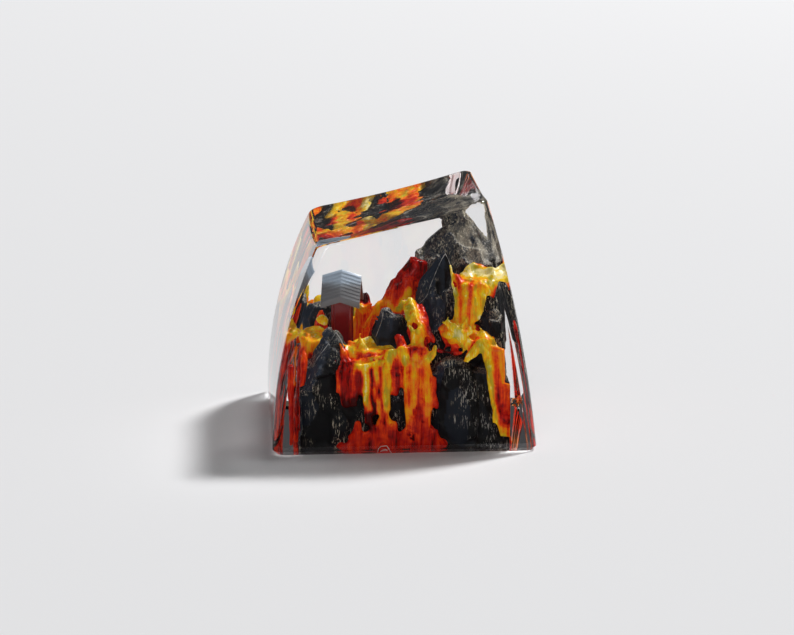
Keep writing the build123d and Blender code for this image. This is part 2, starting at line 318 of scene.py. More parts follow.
# %% A signal that adds its own nodes
class Signal:
    def __init__(self, tree, socket=None):
        self.tree = tree
        self.socket = socket

    def node(self, kind, settings=None, inputs=None, out=0):
        """Any node: its type, its settings, the values or links of its sockets, and the output to use."""
        made = self.tree.nodes.new(kind)
        for name, value in (settings or {}).items():
            if name == "stops":
                set_stops(made.color_ramp.elements, value)
            else:
                setattr(made, name, value)
        for name, value in (inputs or {}).items():
            if isinstance(value, Signal):
                self.tree.links.new(value.socket, made.inputs[name])
            else:
                made.inputs[name].default_value = value
        return Signal(self.tree, made.outputs[out])

    def math(self, operation, left, right):
        return self.node("ShaderNodeMath", {"operation": operation}, {0: left, 1: right})

    def __add__(self, other):
        return self.math("ADD", self, other)

    def __sub__(self, other):
        return self.math("SUBTRACT", self, other)

    def __rsub__(self, other):
        return self.math("SUBTRACT", other, self)

    def __mul__(self, other):
        return self.math("MULTIPLY", self, other)

    __radd__ = __add__
    __rmul__ = __mul__

    def ramp(self, low, high):
        """0 below low, 1 above high, smooth between."""
        settings = {"interpolation_type": "SMOOTHSTEP"}
        return self.node("ShaderNodeMapRange", settings, {"Value": self, "From Min": low, "From Max": high})

    def colours(self, *stops):
        """A colour ramp over this signal: (place, colour) pairs."""
        return self.node("ShaderNodeValToRGB", {"stops": stops}, {0: self})

    def stretched(self, x, y, z):
        """A vector signal multiplied axis by axis."""
        return self.node("ShaderNodeVectorMath", {"operation": "MULTIPLY"}, {0: self, 1: (x, y, z)})

    def axis(self, name):
        """One number of a vector signal."""
        return self.node("ShaderNodeSeparateXYZ", {}, {0: self}, out=name)

    def note(self, name):
        """What a mesh keeps for each corner under this name."""
        return self.node("ShaderNodeAttribute", {"attribute_name": name}, out="Fac")

    def noise(self, scale, detail=3.0, roughness=0.55, distortion=0.0):
        settings = {"noise_dimensions": "3D"}
        inputs = {"Vector": self, "Scale": scale, "Detail": detail, "Roughness": roughness}
        return self.node("ShaderNodeTexNoise", settings, {**inputs, "Distortion": distortion})


def set_stops(elements, stops):
    while len(elements) < len(stops):
        elements.new(1.0)
    for element, (place, colour) in zip(elements, stops):
        element.position = place
        element.color = (*colour, 1)


def mixed(share, low, high):
    """Colour between two colours."""
    return share.node("ShaderNodeMix", {"data_type": "RGBA"}, {0: share, 6: low, 7: high}, out=2)


print("what a signal can do:", [name for name in vars(Signal) if not name.startswith("_")])

# %% [markdown]
# ## Clear resin
#
# Polished resin bends and mirrors light like glass. True glass would leave the rock inside it nearly black,
# because no lamp is hit through bent surfaces. So rays that carry a lamp's light go straight out of the
# casting from within; of the light that would cross the whole casting to the table only a little is let in,
# which gives the dark shadow. Every other ray is bent and mirrored as in life.

# %% Make the resin
THROUGH = 0.02           # share of a lamp's light that gets into the casting on its way to the table


def new_material(name):
    """A material, its Principled node, and object coordinates in millimetres."""
    material = bpy.data.materials.new(name)
    material.use_nodes = True
    tree = material.node_tree
    place = Signal(tree).node("ShaderNodeTexCoord", out="Object")
    return material, tree.nodes["Principled BSDF"], place.stretched(1 / MM, 1 / MM, 1 / MM)


def feed(shader, **inputs):
    """Set a Principled node's inputs, from signals or constants; underscores stand for spaces."""
    tree = shader.id_data
    for name, value in inputs.items():
        socket = shader.inputs[name.replace("_", " ")]
        if isinstance(value, Signal):
            tree.links.new(value.socket, socket)
        else:
            socket.default_value = value


clear_resin, shader, place = new_material("clear_resin")
feed(shader, Base_Color=(1.0, 1.0, 1.0, 1), Roughness=0.0, IOR=1.5, Transmission_Weight=1.0)
shadow = place.node("ShaderNodeLightPath", out="Is Shadow Ray")
diffuse = place.node("ShaderNodeLightPath", out="Is Diffuse Ray")
leaving = place.node("ShaderNodeNewGeometry", out="Backfacing")
straight = place.math("MAXIMUM", shadow, diffuse) * (THROUGH + leaving * (1 - THROUGH))
open_way = place.node("ShaderNodeBsdfTransparent", {}, {"Color": (1, 1, 1, 1)})
glassy = Signal(place.tree, shader.outputs[0])
both = place.node("ShaderNodeMixShader", {}, {0: straight, 1: glassy, 2: open_way})
place.tree.links.new(both.socket, place.tree.nodes["Material Output"].inputs["Surface"])
print("clear resin:", len(place.tree.nodes), "nodes")


# %% Finish the casting
def to_piece(bm, name, node, material, crease=180):
    """Put a bmesh in the scene as a smooth piece; edges sharper than the crease angle stay sharp."""
    for face in bm.faces:
        face.smooth = True
    for edge in bm.edges:
        if len(edge.link_faces) == 2 and edge.calc_face_angle(0) > radians(crease):
            edge.smooth = False
    bmesh.ops.scale(bm, vec=Vector((MM,) * 3), verts=bm.verts)
    mesh = bpy.data.meshes.new(name)
    bm.to_mesh(mesh)
    bm.free()
    mesh.materials.append(material)
    piece = bpy.data.objects.new(name, mesh)
    bpy.context.collection.objects.link(piece)
    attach(piece, "root")
    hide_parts(node)
    print(name, sum(len(p.vertices) - 2 for p in mesh.polygons), "triangles")


to_piece(casting_bm, "cap_clear", "clear_cap", clear_resin, crease=35)

# %% [markdown]
# ## Lava: ropes one by one
#
# The real lava was poured in strands, and each strand kept its own mix of red, orange and yellow. A
# displaced sheet would give waves, not strands. So each main strand that the camera sees is a rope: its
# radius, its heat at the start and at the end, and a few given points. A heat of 0 is deep red, 0.5 is
# orange and 1 is pale yellow.


# %% The two near falls, their pool and the crest above them
class Rope(NamedTuple):
    radius: float
    heat: tuple          # at its start and at its end
    points: tuple        # (place along the near wall, height), or (x, y, z) further inside


ROPES = {
    "pour_main": Rope(0.24, (0.9, 0.85), ((-0.9, 6.9), (-1.2, 6.2), (-1.4, 5.0), (-1.45, 3.6), (-1.05, 2.2))),
    "plunge_left": Rope(0.18, (0.85, 0.5), ((0.25, 6.2), (0.2, 5.0), (0.25, 3.4), (0.4, 1.0))),
    "plunge_right": Rope(0.18, (0.8, 0.5), ((1.1, 6.1), (1.2, 4.6), (1.2, 3.6), (1.4, 2.3))),
    "plunge_cup": Rope(0.24, (0.85, 0.8), ((-0.2, 7.1), (0.15, 6.3), (0.95, 6.0), (1.7, 6.5), (2.1, 7.4))),
    "cup_fill": Rope(0.34, (0.55, 0.45), ((7.5, 0.3, 6.9), (7.7, 0.9, 6.6), (7.6, 1.5, 6.9))),
    "crest_left": Rope(
        0.2, (0.9, 0.8), ((4.9, 0.1, 9.7), (6.2, 0.3, 8.7), (7.0, 0.6, 8.0), (7.4, 0.3, 6.9))),
    "crest_middle": Rope(
        0.24, (0.97, 0.6), ((4.9, 0.5, 10.0), (6.2, 0.8, 9.0), (7.1, 1.2, 8.2), (7.5, 0.9, 6.9))),
    "crest_lump": Rope(0.36, (0.9, 0.75), ((7.0, 0.9, 8.3), (7.2, 1.3, 7.9))),
    "crest_right": Rope(0.17, (0.6, 0.4), ((5.0, 0.8, 9.8), (6.3, 1.2, 8.7), (7.2, 1.7, 7.8))),
    "plunge_shoulder": Rope(0.3, (0.1, 0.2), ((5.0, 1.2, 9.6), (6.2, 1.6, 8.5), (7.2, 2.1, 7.4))),
    "pool_rim": Rope(
        0.2, (0.75, 0.97), ((6.9, -4.4, 7.3), (7.0, -3.7, 6.8), (6.9, -3.0, 7.3), (7.2, -2.6, 6.7),
                            (7.3, -1.7, 6.7), (7.4, -0.8, 6.8))),
    "pool_face": Rope(0.3, (0.35, 0.6), ((7.6, -3.6, 6.2), (7.7, -2.6, 6.1), (7.7, -1.6, 6.2))),
    "tongue": Rope(0.19, (0.97, 0.9), ((-3.6, 5.6), (-3.2, 5.95), (-2.5, 6.05), (-1.6, 6.25))),
    "gully_edge": Rope(0.14, (0.5, 0.3), ((7.0, -4.6, 7.7), (7.5, -4.1, 6.9), (7.7, -3.6, 5.9))),
}
print(len(ROPES), "ropes")

# %% The upper fall and the ribbon at the right
ROPES |= {
    "streak_left": Rope(
        0.13, (0.95, 0.97),
        ((4.9, 3.3, 12.3), (5.9, 3.4, 11.3), (6.6, 3.6, 10.3), (7.0, 3.5, 9.2), (7.3, 3.7, 8.4))),
    "streak_one": Rope(
        0.16, (0.2, 0.35), ((5.4, 3.7, 11.8), (6.2, 3.9, 11.1), (6.8, 3.9, 10.2), (7.1, 3.8, 8.8))),
    "streak_two": Rope(0.15, (0.95, 0.8), ((6.3, 4.2, 11.3), (6.9, 4.2, 10.2), (7.1, 4.1, 8.8))),
    "streak_three": Rope(0.14, (0.1, 0.35), ((6.4, 4.6, 11.2), (7.0, 4.5, 10.0), (7.1, 4.4, 8.7))),
    "streak_four": Rope(0.14, (0.9, 0.8), ((6.4, 4.9, 11.1), (6.9, 4.7, 10.0), (7.0, 4.6, 8.7))),
    "streak_five": Rope(0.15, (0.6, 0.7), ((6.3, 5.2, 11.1), (6.8, 5.0, 10.0), (7.0, 4.8, 8.7))),
    "streak_right": Rope(0.14, (0.8, 0.85), ((6.2, 5.6, 11.0), (6.7, 5.4, 10.0), (6.9, 5.0, 8.8))),
    "ribbon_head": Rope(0.42, (0.85, 0.92), ((6.9, 5.0, 7.7), (7.4, 5.6, 7.5), (7.6, 6.3, 7.0))),
    "ribbon_fork": Rope(0.25, (0.85, 0.78), ((5.3, 7.4), (4.8, 6.9), (4.2, 6.2))),
    "ribbon_main": Rope(0.22, (0.92, 0.8), ((5.6, 7.2), (5.8, 5.6), (6.0, 4.0), (6.3, 2.2), (6.7, 0.9))),
    "ribbon_edge": Rope(0.2, (0.5, 0.25), ((6.6, 6.9), (6.75, 5.0), (6.8, 3.4), (7.0, 1.6))),
    "corner_flame": Rope(0.3, (0.25, 0.15), ((7.1, 3.3), (7.2, 1.8), (7.3, 0.5))),
}
print(len(ROPES), "ropes")

# %% Red folds, the ridge, the mound at the left and what lies behind
ROPES |= {
    "red_gap": Rope(0.2, (0.15, 0.1), ((1.9, 5.2), (1.9, 4.2), (2.2, 3.0))),
    "red_hollow": Rope(0.25, (0.15, 0.1), ((7.0, 2.2, 6.9), (7.3, 3.1, 6.7), (7.4, 3.9, 6.7))),
    "red_backing": Rope(0.36, (0.14, 0.08), ((7.7, -0.5, 6.3), (7.8, -0.6, 4.9), (7.85, -0.65, 3.9))),
    "red_step": Rope(0.32, (0.12, 0.14), ((6.9, -0.3, 7.9), (7.3, -0.2, 7.2), (7.6, -0.3, 6.5))),
    "red_shoulder": Rope(0.32, (0.14, 0.1), ((7.2, -4.2, 7.0), (7.6, -4.1, 6.4), (7.7, -4.0, 5.7))),
    "blob_core": Rope(0.6, (0.45, 0.55), ((6.8, 2.9, 8.2), (6.9, 3.7, 8.3), (6.8, 4.6, 8.2))),
    "crater_lip": Rope(0.2, (0.1, 0.14), ((5.2, 6.2, 11.1), (5.8, 6.3, 10.6), (6.2, 6.2, 10.2))),
    "crater_back": Rope(0.2, (0.14, 0.1), ((4.2, 4.7, 11.8), (4.1, 5.3, 12.0), (4.3, 5.9, 11.8))),
    "ridge": Rope(
        0.95, (0.12, 0.08), ((2.2, -1.5, 8.2), (2.1, -0.5, 9.3), (1.9, 0.4, 10.3), (1.7, 1.3, 12.0))),
    "ridge_foot": Rope(0.8, (0.12, 0.1), ((2.6, -0.9, 7.9), (2.6, 0.2, 8.5), (2.4, 1.2, 9.3))),
    "ridge_spark": Rope(0.14, (0.85, 0.6), ((3.1, -0.2, 9.0), (3.0, 0.3, 9.5), (2.8, 0.5, 10.1))),
    "left_edge": Rope(0.3, (0.2, 0.12), ((-8.6, 6.2), (-8.7, 3.6), (-8.7, 0.7))),
    "left_slope": Rope(
        0.4, (0.3, 0.1), ((6.6, -6.9, 6.6), (7.4, -7.2, 5.5), (7.7, -7.4, 3.8), (7.8, -7.5, 1.5))),
    "mound_knob": Rope(0.5, (0.9, 0.9), ((4.2, -5.6, 8.3), (4.2, -5.4, 8.7))),
    "mound_slope": Rope(0.45, (0.75, 0.3), ((5.2, -6.9, 7.3), (6.0, -7.0, 6.6), (6.6, -7.1, 5.6))),
    "crest_edge": Rope(
        0.16, (0.45, 0.6), ((3.0, -2.7, 7.6), (2.9, -1.9, 8.9), (2.6, -1.2, 9.3), (2.8, -0.4, 8.6))),
    "back_lip": Rope(
        0.4, (0.2, 0.14), ((2.5, 6.7, 6.9), (3.0, 6.5, 7.4), (3.7, 6.5, 7.5), (4.3, 6.7, 7.0))),
    "knob_curl": Rope(0.2, (0.9, 0.3), ((0.9, -3.0, 8.8), (1.0, -2.5, 8.5), (1.0, -1.9, 8.9))),
}
print(len(ROPES), "ropes")

# %% [markdown]
# A rope becomes a strand: close points on a smooth curve through the ones above, each with its own radius
# and heat. Poured strands are never quite straight or even, so noise makes them swell and sway. Blender's
# noise functions give the same values in every run, which a random generator would need a seed for.

# %% Curves behind the walls
ROPE_COVER = 0.66        # clear resin between the near wall and the middle of a rope
END_COVER = 0.5          # and how much more there is at the front and back walls
STEP = 0.15              # from one point of a strand to the next


def on_wall(wall, across, z):
    """Middle of a rope behind one of the four walls."""
    if wall == "near":
        return Vector((side_reach(z) - ROPE_COVER, across, z))
    if wall == "far":
        return Vector((-side_reach(z) + ROPE_COVER, across, z))
    if wall == "front":
        return Vector((across, -front_reach(z) + ROPE_COVER + END_COVER, z))
    return Vector((across, back_reach(z) - ROPE_COVER - END_COVER, z))


def curve_through(knots):
    """Points close together on a smooth curve through the knots."""
    path = []
    for k in range(len(knots) - 1):
        start, end = knots[k], knots[k + 1]
        before, after = knots[max(k - 1, 0)], knots[min(k + 2, len(knots) - 1)]
        count = max(int((end - start).length / STEP), 2)
        path += interpolate_bezier(start, start + (end - before) / 6, end - (after - start) / 6, end, count)
    return path


print("a rope half way up the near wall:", [round(v, 2) for v in on_wall("near", 0, TOP_HEIGHT / 2)])

# %% Lay the ropes
FLAMES = (               # at the near foot: place along the wall, height of the tip
    (-4.3, 0.8), (-3.8, 1.3), (-3.3, 2.2), (-2.7, 1.5), (-2.2, 1.9), (-1.8, 2.3), (-1.3, 2.8), (-0.7, 2.3),
    (-0.1, 1.7), (0.4, 2.4), (0.9, 2.9), (1.5, 2.4), (2.0, 1.6), (2.5, 0.9), (6.9, 1.9), (7.3, 1.2),
)

strands = []             # each a list of (point, radius, heat)


def lay_rope(seed, rope):
    knots = [Vector(p) if len(p) == 3 else on_wall("near", *p) for p in rope.points]
    path = curve_through(knots)
    strand = []
    for step, point in enumerate(path):
        share = step / (len(path) - 1)
        thick = noise.noise((seed * 3.7, step * 0.12, 0.4))
        sway = noise.noise((seed * 5.1, step * 0.12, 7.4))
        radius = rope.radius * (1 + 0.3 * thick) * (1 - 0.4 * share ** 3)
        strand.append((point + Vector((0, 0.12 * sway, 0)), radius, between(*rope.heat, share)))
    strands.append(strand)


for seed, rope in enumerate(ROPES.values()):
    lay_rope(seed, rope)
for seed, (across, tip) in enumerate(FLAMES):
    points = ((across * 1.04, 0.3), (across, 0.7 * tip), (across, tip))
    lay_rope(100 + seed, Rope(0.34, (0.16, 0.2), points))
print(len(strands), "strands")

# %% [markdown]
# ## Lava: strands by rule
#
# Falls on all four walls are many thin strands side by side. By hand they would take hundreds of points, so
# they are laid by rule, from a lip, an end, a width and a mean heat. Splashes run out from a middle, pools
# are rings on a shallow bowl, red flames stand along the foot, and thick strands are draped down the far
# slope.

# %% Falls
FALLS = {                # wall, lip and end (across, z), width, strands, their radius, mean heat
    "pour": ("near", (-1.9, 5.9), (-1.85, 1.6), 1.65, 7, 0.15, 0.78),
    "plunge": ("near", (0.95, 6.2), (1.0, 1.9), 1.6, 7, 0.15, 0.78),
    "gully": ("near", (-4.0, 5.8), (-3.9, 3.2), 1.5, 6, 0.15, 0.24),
    "ribbon": ("near", (6.1, 7.0), (6.6, 1.4), 1.0, 5, 0.14, 0.75),
    "front_far": ("front", (-3.1, 6.2), (-3.3, 0.6), 2.0, 5, 0.22, 0.4),
    "front_near": ("front", (4.8, 6.6), (4.7, 0.5), 2.6, 7, 0.3, 0.22),
    "far_back": ("far", (3.2, 8.2), (2.9, 0.8), 2.0, 5, 0.24, 0.6),
    "far_middle": ("far", (-1.7, 6.6), (-2.1, 0.6), 2.1, 5, 0.24, 0.7),
    "far_front": ("far", (-4.9, 6.6), (-4.8, 1.4), 1.4, 4, 0.22, 0.65),
    "back_far": ("back", (-2.7, 8.0), (-2.9, 0.6), 2.0, 5, 0.24, 0.5),
    "back_near": ("back", (3.5, 7.2), (3.1, 0.8), 1.7, 4, 0.22, 0.1),
}
FALL_POINTS = 36         # in each strand of a fall


def lot(seed, number, draw):
    """A number from 0 to 1 that looks random and is the same in every run."""
    return noise.cell((seed + 0.5, number + 0.5, draw + 0.5))


def lay_fall(seed, wall, lip, end, width, count, thick, mean_heat):
    for number in range(count):
        offset = (number / (count - 1) - 0.5) * width * 0.85
        length = 0.75 + 0.25 * lot(seed, number, 0)
        hot = mean_heat * (1 + 0.7 * (lot(seed, number, 1) - 0.5))
        strand = []
        for step in range(FALL_POINTS):
            share = step / (FALL_POINTS - 1) * length
            z = between(lip[1], end[1], share)
            wave = noise.noise((seed * 3.1 + number * 5.3, z * 0.55, 0.2))
            swell = noise.noise((seed * 7.7 + number * 2.9, z * 0.8, 4.2))
            across = between(lip[0], end[0], share) + offset + (0.15 + thick) * wave
            strand.append((on_wall(wall, across, z), thick * (1 + 0.4 * swell), hot - 0.2 * share ** 2))
        strands.append(strand)


for seed, fall in enumerate(FALLS.values()):
    lay_fall(seed, *fall)
print(len(strands), "strands")

# %% Flames at the hidden walls
FLAME_ROW = 24           # places for a flame along a wall
FLAME_LOWEST = 0.9       # tips below this are left out


def lay_flames(seed, wall):
    """Red flames at the foot of one of the hidden walls, with gaps where the rock comes down."""
    for number in range(FLAME_ROW):
        across = -5.2 + 10.4 * number / (FLAME_ROW - 1)
        wave = noise.noise((seed * 6.3 + 0.4, across * 0.45, 2.2))
        tip = 1.5 + 3.4 * wave + 1.2 * lot(seed, number, 4)
        if tip > FLAME_LOWEST:
            path = curve_through([on_wall(wall, across * 1.04, 0.3), on_wall(wall, across, tip)])
            shares = [step / len(path) for step in range(len(path))]
            strands.append([(point, 0.36 - 0.26 * t, 0.16 + 0.1 * t) for point, t in zip(path, shares)])


for seed, wall in enumerate(("far", "front", "back")):
    lay_flames(seed, wall)
print(len(strands), "strands")

# %% Splashes
STARS = {                # middle, reach, strands, heat at the middle and at the tips
    "blob": ((7.85, 3.75, 8.1), 1.5, 15, (1.05, 0.75)),
    "cup": ((7.95, 0.85, 6.4), 1.05, 11, (0.5, 0.92)),
    "ribbon_head": ((7.5, 5.5, 7.5), 1.0, 10, (0.9, 0.7)),
}
STAR_POINTS = 12


def lay_star(seed, middle, size, count, heat):
    """Thin strands that splash out from a middle and bend back from the wall."""
    for number in range(count):
        turn = 2 * pi * (number + 0.7 * lot(seed, number, 2)) / count
        length = size * (0.65 + 0.35 * lot(seed, number, 3))
        strand = []
        for step in range(STAR_POINTS):
            share = step / (STAR_POINTS - 1)
            bend = turn + 0.9 * noise.noise((seed * 4.1 + number * 3.3, share * 1.6, 0.3))
            out = length * share
            point = Vector(middle) + Vector((-0.55 * share ** 2, out * cos(bend), out * sin(bend)))
            strand.append((point, 0.17 - 0.07 * share, between(*heat, share)))
        strands.append(strand)


for seed, star in enumerate(STARS.values()):
    lay_star(seed, *star)
print(len(strands), "strands")

# %% Bowls
BOWLS = {                # x, y, z, radius, heat, how steeply it tips to the near wall
    "crater": (5.2, 5.3, 10.9, 0.95, 1.2, 0.65),
    "lower": (6.1, -2.3, 6.25, 1.5, 0.85, 0.25),
    "mound": (4.9, -6.3, 7.1, 0.9, 0.75, 0.35),
    "far": (-4.5, 2.9, 8.5, 1.8, 0.8, -0.4),
    "far_front": (-4.7, -5.1, 6.9, 1.5, 0.8, -0.4),
    "back_far": (-2.8, 6.5, 7.9, 0.9, 0.65, 0.0),
    "front_far": (-3.1, -6.7, 6.2, 0.9, 0.7, 0.0),
}
BOWL_POINTS = 30
RING_GAP = 0.3           # between two rings of a bowl
RING_RADIUS = 0.34       # so that rings overlap


def lay_bowl(seed, x, y, z, radius, heat, tip):
    """Rings of strands, side by side, on a shallow tilted bowl."""
    rings = round(radius / RING_GAP)
    for ring in range(1, rings + 1):
        strand = []
        for step in range(BOWL_POINTS):
            turn = 2 * pi * step / (BOWL_POINTS - 1)
            wave = noise.noise((seed * 2.3 + cos(turn) * 1.3, sin(turn) * 1.3, ring * 0.25))
            out = radius * ring / rings * (1 + 0.18 * wave)
            lift = 0.3 * (ring / rings) ** 2 * (1 + wave) - tip * out * cos(turn)
            point = Vector((x + out * cos(turn), y + out * sin(turn), z + lift))
            strand.append((point, RING_RADIUS, heat + 0.2 * wave))
        strands.append(strand)


for seed, bowl in enumerate(BOWLS.values()):
    lay_bowl(seed, *bowl)
print(len(strands), "strands")

# %% Drapes down the far slope
DRAPES = 12
DRAPE_POINTS = 44
DRAPE_TOP = 8.6          # no drape lies higher


def from_cad(name):
    """A copy of a CAD node in millimetres, with its loose triangles welded."""
    bm = bmesh.new()
    bm.from_mesh(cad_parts[name].data)
    bmesh.ops.scale(bm, vec=Vector((1 / MM,) * 3), verts=bm.verts)
    bmesh.ops.remove_doubles(bm, verts=bm.verts, dist=0.002)
    return bm


ground_trees = [BVHTree.FromBMesh(from_cad(name)) for name in ("rock_base", "lava_flows")]


def ground(x, y):
    """Height of the CAD landscape over a point."""
    hits = [tree.ray_cast(Vector((x, y, 20)), Vector((0, 0, -1)))[0] for tree in ground_trees]
    return max(hit.z for hit in hits if hit)


def lay_drape(number):
    """A thick strand down the far slope to the far wall, where the slope isn't too high."""
    strand = []
    for step in range(DRAPE_POINTS):
        share = step / (DRAPE_POINTS - 1)
        x = -1.6 - 5.4 * share
        wave = noise.noise((number * 2.7, share * 2.2, 1.5))
        thick = noise.noise((number * 4.3, share * 3.0, 6.1))
        y = -5.6 + 10.2 * number / (DRAPES - 1) + 0.9 * wave
        z = ground(x, y)
        heat = 0.6 + 0.9 * noise.noise((number * 1.3, share * 1.4, 9.2))
        if z < DRAPE_TOP:
            strand.append((Vector((x, y, z)), 0.42 + 0.3 * thick, heat))
    if len(strand) > 4:
        strands.append(strand)


for number in range(DRAPES):
    lay_drape(number)
print(len(strands), "strands")

# %% [markdown]
# ## Lava: one flowing skin
#
# Poured lava has no seams. A Boolean could join hundreds of strands, but it would be slow and fragile. So the
# strands become round tubes by a curve's bevel, with far fewer faces than rows of balls, and a voxel remesh
# welds them and the CAD lava into one skin.

# %% Weld the strands
LAVA_VOXEL = 0.123


def tubes(strands):
    """Strands as closed tubes, each as thick along its length as its points say."""
    curve = bpy.data.curves.new("strands", "CURVE")
    curve.dimensions = "3D"
    curve.bevel_depth = 1.0
    curve.bevel_resolution = 2
    curve.use_fill_caps = True
    for strand in strands:
        spline = curve.splines.new("POLY")
        spline.points.add(len(strand) - 1)
        for spot, (point, radius, _) in zip(spline.points, strand):
            spot.co = (*point, 1)
            spot.radius = radius
    work = bpy.data.objects.new("strands", curve)
    mesh = bpy.data.meshes.new_from_object(work)
    bpy.data.objects.remove(work)
    bpy.data.curves.remove(curve)
    return mesh


lava_bm = from_cad("lava_flows")
lava_bm.from_mesh(tubes(strands))
lava_bm = settled(
    lava_bm,
    ("REMESH", {"mode": "VOXEL", "voxel_size": LAVA_VOXEL}),
    ("SMOOTH", {"factor": 0.5, "iterations": 3}),
)
print("lava:", len(lava_bm.verts), "corners")

# %% [markdown]
# Colour has to follow the strands. A picture painted on the mesh would do it, but the strands already know
# their heat. So each corner of the skin takes the blended heat of the strand points nearest to it, and a
# corner on the bare sheet between strands takes the heat of the part of the landscape that it lies in.

# %% Warm and dark places
HEAT_SPOTS = {           # x, y, z, size, heat
    "upper_fall": (6.4, 4.4, 9.8, 1.6, 0.62),
    "crater": (5.2, 5.4, 11.4, 1.5, 0.97),
    "crater_lip": (6.1, 6.6, 10.9, 0.6, 0.1),
    "blob": (7.0, 3.7, 8.4, 1.5, 0.72),
    "blob_right": (6.5, 5.7, 8.6, 0.8, 0.14),
    "ribbon_head": (7.6, 5.9, 7.5, 0.9, 0.85),
    "dark_sheet": (8.0, 5.0, 4.4, 1.3, 0.02),
    "pour": (8.0, -1.7, 4.6, 1.5, 0.5),
    "plunge": (8.0, 0.6, 4.4, 1.3, 0.45),
    "pool_top": (6.2, -2.2, 7.1, 1.6, 0.85),
    "pool_face": (7.7, -2.6, 6.4, 0.7, 0.3),
    "gully": (8.0, -4.0, 5.0, 1.3, 0.2),
    "gully_dark": (8.2, -3.8, 4.6, 0.4, 0.08),
    "mound": (4.7, -6.5, 7.4, 1.5, 0.88),
    "ridge": (-0.3, 0.9, 9.6, 2.6, 0.1),
    "orange_crest": (2.4, -1.3, 8.8, 1.3, 0.48),
    "red_knob": (0.2, -2.4, 9.2, 0.9, 0.15),
    "hut_yard": (3.6, -2.7, 6.6, 1.2, 0.14),
    "corner": (8.0, 7.3, 2.5, 1.8, 0.14),
    "foot": (8.3, -0.6, 0.8, 3.4, 0.13),
}
SHADED_HOLES = (                # painted shade, near black, in hollows and under the pool's lip: x, y, z, size
    (5.8, 5.75, 10.75, 0.28), (5.6, -6.7, 6.9, 0.26), (7.9, -2.1, 5.45, 0.2), (7.4, 3.3, 8.3, 0.2),
)
NEAR_HEAT = 0.3          # of the sheet anywhere else
FAR_HEAT = 0.7
print(len(HEAT_SPOTS), "warm or dark places,", len(SHADED_HOLES), "holes")

# %% Heat of a corner
BLENDED = 7              # strand points that share in it

marks = [mark for strand in strands for mark in strand]
mark_tree = KDTree(len(marks))
for number, (point, _, _) in enumerate(marks):
    mark_tree.insert(point, number)
mark_tree.balance()


def smoothstep(low, high, value):
    share = min(max((value - low) / (high - low), 0.0), 1.0)
    return share * share * (3 - 2 * share)


def strand_share(p):
    """How much a point belongs to the strands nearest to it, and their blended heat."""
    total = blend = 0.0
    for _, number, away in mark_tree.find_n(p, BLENDED):
        weight = 1 / (away + 0.06) ** 3
        total += weight
        blend += weight * marks[number][2]
    _, number, away = mark_tree.find(p)
    radius = marks[number][1]
    return 1 - smoothstep(radius + 0.05, radius + 0.3, away), blend / total


def lava_heat(vert):
    p = vert.co
    heat = between(FAR_HEAT, NEAR_HEAT, smoothstep(-1.0, 3.0, p.x))
    for x, y, z, size, level in HEAT_SPOTS.values():
        away = (p - Vector((x, y, z))).length
        heat += (level - heat) * (1 - smoothstep(size * 0.5, size * 1.3, away))
    share, strand_heat = strand_share(p)
    heat += (strand_heat - heat) * share
    # painted shade: hollows and the place under the pool's lip go near black
    for x, y, z, size in SHADED_HOLES:
        heat *= smoothstep(size, size + 0.2, (p - Vector((x, y, z))).length)
    return heat


print("heat is taken from", len(marks), "strand points")

# %% [markdown]
# Folds and pocks stand out along each corner's own normal, as real geometry, because bump alone is lost at
# the outline. How far a corner stands out is kept as the note `crest`, for the paint. The ends of the
# landscape are then drawn in, except in the hollow for the switch, and all of it is held inside the clear
# walls.


# %% Folds in the lava
def shaped(bm, relief, share, **notes):
    """Move each corner along its normal by the relief there, and keep the named notes as attributes."""
    bm.normal_update()
    layers = {name: bm.verts.layers.float.new(name) for name in ("crest", *notes)}
    moves = []
    for vert in bm.verts:
        amount = relief(vert.co)
        moves.append(vert.normal * amount * share(vert.co))
        vert[layers["crest"]] = amount
        for name, note in notes.items():
            vert[layers[name]] = note(vert)
    for vert, move in zip(bm.verts, moves):
        vert.co += move


def lava_relief(p):
    """How far lava stands out at a point, in mm: slow swells, folds that run down, and small pocks."""
    swell = noise.noise((p.x * 0.5, p.y * 0.5, p.z * 0.4))
    folds = 1 - 2 * abs(noise.noise((p.x * 1.5 + 7, p.y * 1.5, p.z * 0.35)))
    pocks = noise.noise((p.x * 2.6, p.y * 2.6 + 3, p.z * 1.8))
    return 0.08 * swell + 0.09 * (folds - 0.6) + 0.04 * pocks - 0.14 * (1 - strand_share(p)[0])


def above_foot(p):
    return smoothstep(0.0, 0.4, p.z - 0.05)


shaped(lava_bm, lava_relief, above_foot, warmth=lava_heat)
crest = lava_bm.verts.layers.float["crest"]
print("lava stands out, in mm:", [round(f(vert[crest] for vert in lava_bm.verts), 2) for f in (min, max)])

# %% Hold the lava inside the walls
DRAW_FROM = 6.6          # the landscape's ends are drawn in from here
DRAW_SHARE = 0.42
HOLLOW_HALF = 7.2        # the hollow for the switch, with a little to spare
HOLLOW_TOP = 4.7
LAVA_COVER = 0.35        # clear resin over the lava


def in_hollow(p):
    return max(abs(p.x), abs(p.y)) < HOLLOW_HALF and p.z < HOLLOW_TOP


def draw_in(bm):
    """Draw the ends of the landscape in a little, so that clear resin stands beyond them as in the photo."""
    for vert in bm.verts:
        far = abs(vert.co.y)
        if far > DRAW_FROM and not in_hollow(vert.co):
            drawn = far - DRAW_SHARE * (far - DRAW_FROM)
            if vert.co.z < HOLLOW_TOP:
                drawn = max(drawn, HOLLOW_HALF)
            vert.co.y *= drawn / far


def keep_inside(bm, cover):
    """Hold every corner at least this far inside the clear walls and the dish."""
    for vert in bm.verts:
        x, y, z = vert.co
        side = side_reach(z) - cover
        vert.co.x = min(max(x, -side), side)
        vert.co.y = min(max(y, cover - front_reach(z)), back_reach(z) - cover)
        vert.co.z = min(z, dish(x, y) - cover)


